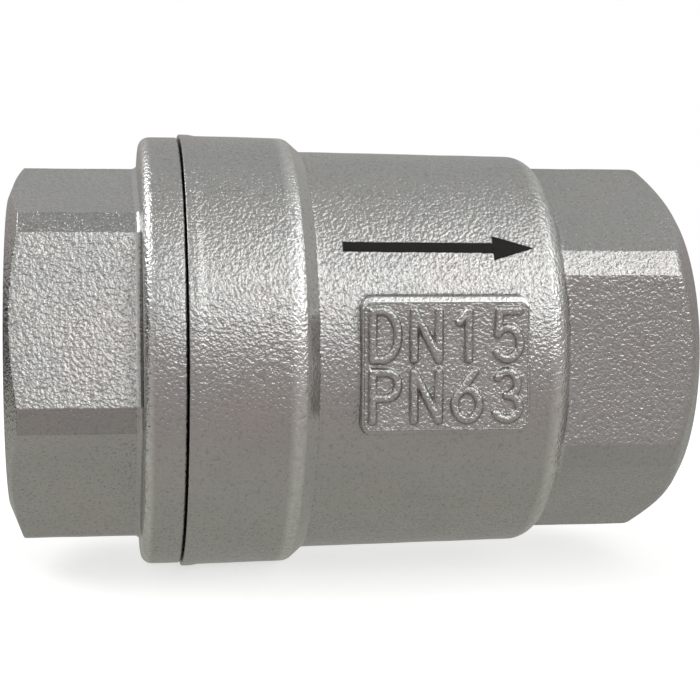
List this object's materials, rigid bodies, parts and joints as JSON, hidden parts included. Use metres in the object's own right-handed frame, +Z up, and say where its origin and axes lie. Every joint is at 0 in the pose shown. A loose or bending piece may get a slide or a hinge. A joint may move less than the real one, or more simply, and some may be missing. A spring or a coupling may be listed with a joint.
{
  "type": "in-line spring check valve",
  "caption": "In-line spring check valve: cast stainless body and screwed end cap with hexagon threaded ends, sprung poppet, guide and seals inside.",
  "frame": {"origin": "on the flow axis, halfway between the two end faces", "axes": "+X along the flow, from the inlet in the end cap to the outlet in the body; +Z up; the pad with the size mark faces -Y"},
  "size_m": [0.0536, 0.035, 0.035],
  "materials": {
    "cast_steel": "bead-blasted investment casting",
    "turned_steel": "fine turned",
    "spring_steel": "smooth drawn wire and sheet",
    "ptfe": "matte white PTFE"
  },
  "bodies": {
    "shell": {"body": "cast_steel", "end_cap": "cast_steel", "body_gasket": "ptfe", "guide_spider": "cast_steel", "guide_bush": "ptfe", "retaining_ring": "spring_steel", "spring": "spring_steel"},
    "follower": {"spring_washer": "turned_steel"},
    "poppet_set": {"poppet": "turned_steel", "seat_seal": "ptfe", "seal_retainer": "turned_steel", "lock_washer": "spring_steel", "retainer_nut": "turned_steel", "stem": "turned_steel", "stem_clip": "spring_steel"}
  },
  "joints": [
    {"name": "poppet_lift", "type": "slide", "parent": "shell", "child": "follower", "axis": [1, 0, 0], "range_m": [0, 0.0045], "stiffness_N_per_m": 250, "springref_m": -0.0032, "deforming": ["spring"]},
    {"name": "poppet_spin", "type": "hinge", "parent": "follower", "child": "poppet_set", "pos_m": [0, 0, 0], "axis": [1, 0, 0], "continuous": true}
  ]
}
